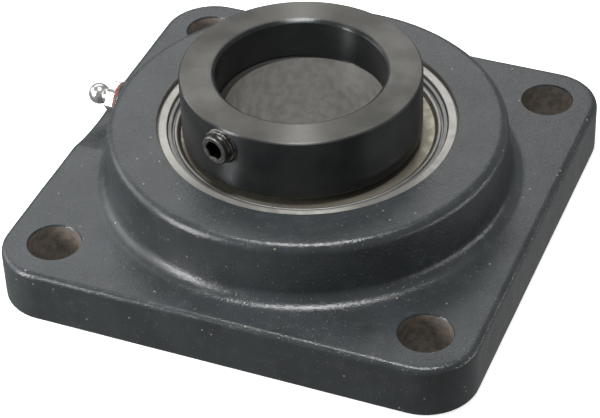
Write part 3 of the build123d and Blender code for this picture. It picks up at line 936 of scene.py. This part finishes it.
def make_collar():
    """Locking collar: turned body, eccentric recess below and a tapped hole through its wall."""
    profile = rounded(
        [
            (collar_bore, collar_bottom, 0.2),
            (collar_radius, collar_bottom, 0.5),
            (collar_radius, collar_top - 0.45, 0.25),
            (collar_radius - 0.45, collar_top, 0.25),
            (collar_bore + collar_bore_chamfer, collar_top, 1.9),
            (collar_bore, collar_top - collar_bore_chamfer, 0.5),
        ]
    )
    piece = turned("collar_body", profile, in_collar, 288, material=finishes["black_oxide"])
    recess_profile = rounded(
        [
            (0, collar_bottom - 2, 0),
            (collar_recess, collar_bottom - 2, 0.1),
            (collar_recess, collar_recess_top, 0.3),
            (0, collar_recess_top, 0),
        ],
        False,
    )
    recess = turned("recess", recess_profile, in_cam, 192, False, finishes["black_oxide"])
    depth = collar_radius - collar_bore + 8
    start = 6.0
    heights = np.arange(-start, depth - start, screw_pitch / 10)
    wall = np.stack([np.full(len(heights), tapped_radius), heights], -1)
    ends = np.array([[0.0, heights[0] - 0.01]]), np.array([[0.0, heights[-1] + 0.01]])
    tap_profile = np.concatenate([ends[0], wall, ends[1]])
    groove = thread(tapped_radius, thread_depth, True)
    tap = turned("tap", tap_profile, in_screw, 96, False, finishes["black_oxide"], groove)
    carve(piece, [recess, tap])
    crease(piece, 35)
    fit(piece, "collar", "black_oxide", "locking_collar")


def make_set_screw():
    """Set screw: cup point, helical thread, chamfered end and a hexagon socket."""
    cup = [(0, 0.8), (2.2, 0.8), (3.0, 0.1), (3.3, 0.1)]
    heights = np.arange(1.4, screw_length - 0.85, screw_pitch / 12)
    wall = np.stack([np.full(len(heights), screw_radius), heights], -1)
    end = [
        (screw_radius - thread_depth - 0.15, screw_length - 0.62),
        (screw_radius - thread_depth - 0.45, screw_length - 0.12),
        (screw_radius - thread_depth - 0.62, screw_length),
        (socket_flats / 2 + 0.62, screw_length),
        (socket_flats / 2 + 0.30, screw_length - 0.05),
        (socket_flats / 2 + 0.0, screw_length - 0.40),
        (socket_flats / 2, screw_length - socket_depth),
        (0, screw_length - socket_depth - 0.8),
    ]
    profile = np.concatenate([np.array(cup), wall, np.array(end)])
    cut = thread(screw_radius, thread_depth, False)
    six = hexagon_reach(socket_flats)

    def reach(angle, radius, height):
        lead = np.clip((height - screw_length + 2.2) / 1.3, 0, 1) * 0.45
        radius = np.minimum(cut(angle, radius, height), screw_radius - lead)
        in_socket = (height > screw_length - socket_depth - 0.01) & (radius < socket_flats / 2 + 0.01)
        return np.where(in_socket & (radius > 1), six(angle), radius)

    piece = turned("set_screw_body", profile, in_screw, 120, False, finishes["screw_steel"], reach)
    crease(piece, 35)
    fit(piece, "set_screw", "screw_steel", "set_screw")


def make_fitting():
    """Grease fitting: plain shank, chamfered hexagon, neck and ball head with its mouth."""
    profile = rounded(
        [
            (0, fitting_thread_start, 0),
            (fitting_thread, fitting_thread_start, 0.4),
            (fitting_thread, hexagon_start, 0.05),
            (hexagon_flats / 2 - 0.1, hexagon_start, 0.1),
            (hexagon_flats / 2, hexagon_start + 0.3, 0.2),
            (hexagon_flats / 2, hexagon_end - 0.5, 0.25),
            (hexagon_flats / 2 - 0.45, hexagon_end, 0.15),
            (fitting_neck, hexagon_end, 0.3),
            (fitting_neck, fitting_head - 2.2, 0.05),
        ],
        False,
    )
    head = arc((0, fitting_head), fitting_head_radius, -44, 58, 26)
    mouth = rounded(
        [
            (1.55, fitting_head + 2.6, 0.05),
            (fitting_mouth + 0.15, fitting_head + 2.62, 0.1),
            (fitting_mouth, fitting_head + 2.3, 0.05),
            (fitting_mouth, fitting_head + 1.0, 0.02),
            (0, fitting_head + 1.0, 0),
        ],
        False,
    )
    six = hexagon_reach(1.0)

    def reach(angle, radius, height):
        on_hexagon = (height > hexagon_start - 0.001) & (height < hexagon_end + 0.001) & (radius > 3.6)
        full = radius * six(angle) * 2
        corner_cut = np.minimum(full, hexagon_flats / 2 * 1.12 - np.abs(height - hexagon_start - 1.4) * 0.12)
        return np.where(on_hexagon, np.maximum(radius, corner_cut), radius)

    profile = np.concatenate([profile, head, mouth])
    piece = turned("grease_fitting_body", profile, in_fitting, 144, False, finishes["zinc_plate"], reach)
    crease(piece, 30)
    fit(piece, "housing", "zinc_plate", "grease_fitting")


def dress_cad_nodes():
    """Gives each CAD node the finish of its record slot."""
    for part in frame["record"]["subparts"]:
        node = frame["nodes"][part["node"]]
        node.data.materials.clear()
        node.data.materials.append(finishes[part["material_slot"]])


# Camera, light and floor.


def camera_place():
    """Camera from its azimuth, elevation, distance, roll and sideways offsets."""
    azimuth = math.radians(23.15)
    elevation = math.radians(39.24)
    roll = math.radians(-2.18)
    target = np.array([0.0, 0.0, 20.0])
    distance = 617.0
    aside = -2.4
    upward = -14.37
    back = np.array(
        [
            math.sin(azimuth) * math.cos(elevation),
            -math.cos(azimuth) * math.cos(elevation),
            math.sin(elevation),
        ]
    )
    right = np.array([math.cos(azimuth), math.sin(azimuth), 0.0])
    above = np.cross(back, right)
    across = right * math.cos(roll) + above * math.sin(roll)
    over = above * math.cos(roll) - right * math.sin(roll)
    return target + back * distance + across * aside + over * upward, across, over, back


def aim(thing, position, axes):
    """Puts a camera or light at a position with its X, Y and Z axes, in millimetres."""
    matrix = np.eye(4)
    matrix[:3, :3] = np.stack(axes, axis=1)
    matrix[:3, 3] = np.asarray(position) * MM
    thing.matrix_world = Matrix(matrix.tolist())


def make_camera():
    """Long lens, 36 mm wide sensor."""
    data = bpy.data.cameras.new("camera")
    data.sensor_width = 36.0
    data.lens = 134.6
    data.clip_start = 0.01
    camera = bpy.data.objects.new("camera", data)
    bpy.context.scene.collection.objects.link(camera)
    position, across, over, back = camera_place()
    aim(camera, position, (across, over, back))
    bpy.context.scene.camera = camera


def soft_box(name, azimuth, elevation, distance, size, power):
    """Rectangular area light that looks at the bearing from an azimuth and elevation in degrees."""
    turn = math.radians(azimuth)
    rise = math.radians(elevation)
    back = np.array([math.sin(turn) * math.cos(rise), -math.cos(turn) * math.cos(rise), math.sin(rise)])
    right = np.array([math.cos(turn), math.sin(turn), 0.0])
    data = bpy.data.lights.new(name, "AREA")
    data.shape = "RECTANGLE"
    data.size = size[0] * MM
    data.size_y = size[1] * MM
    data.energy = power
    light = bpy.data.objects.new(name, data)
    bpy.context.scene.collection.objects.link(light)
    aim(light, np.array([0, 0, 20.0]) + back * distance, (right, np.cross(back, right), back))


def make_light():
    """A small box overhead, large ones behind and left, and strips low right and front left."""
    soft_box("overhead", 10, 86, 600, (140, 140), 3.0)
    soft_box("behind", 215, 38, 900, (900, 420), 1.9)
    soft_box("left", 275, 18, 560, (360, 300), 0.9)
    soft_box("edge", 100, -1.6, 420, (400, 14), 0.35)
    soft_box("strip", 318, 16, 420, (44, 260), 1.4)
    world = bpy.data.worlds.new("room")
    world.use_nodes = True
    background = world.node_tree.nodes["Background"]
    background.inputs["Color"].default_value = (1, 1, 1, 1)
    background.inputs["Strength"].default_value = 0.26
    bpy.context.scene.world = world


def make_floor():
    """Pale round floor that glows a little, so the bearing's shadow on it stays faint."""
    reach = 6000.0
    bow = np.linspace(0, TURN, 64, endpoint=False)
    rows = []
    for radius in (0.0, 200.0, 1000.0, reach, reach * 1.001, 0.0):
        height = 0.0 if len(rows) < 4 else -20.0
        rows.append(np.stack([radius * np.cos(bow), radius * np.sin(bow), np.full(64, height)], -1))
    finish = Finish("pale_floor")
    shade = finish.noise(40, 2)
    pale = finish.mix(finish.between(shade, 0, 1, 0, 0.1), (0.95, 0.95, 0.95), (0.92, 0.92, 0.92))
    finish.set(Base_Color=pale, Roughness=0.9, Emission_Color=pale, Emission_Strength=0.8)
    floor = surface("floor", np.stack(rows), shut=False, material=finish.material)
    floor.visible_diffuse = False
    floor.visible_glossy = False


dress_cad_nodes()
make_housing()
make_outer_ring()
make_inner_ring()
make_shields()
make_collar()
make_set_screw()
make_fitting()
make_floor()
make_camera()
make_light()
bpy.context.scene.view_settings.view_transform = "Standard"
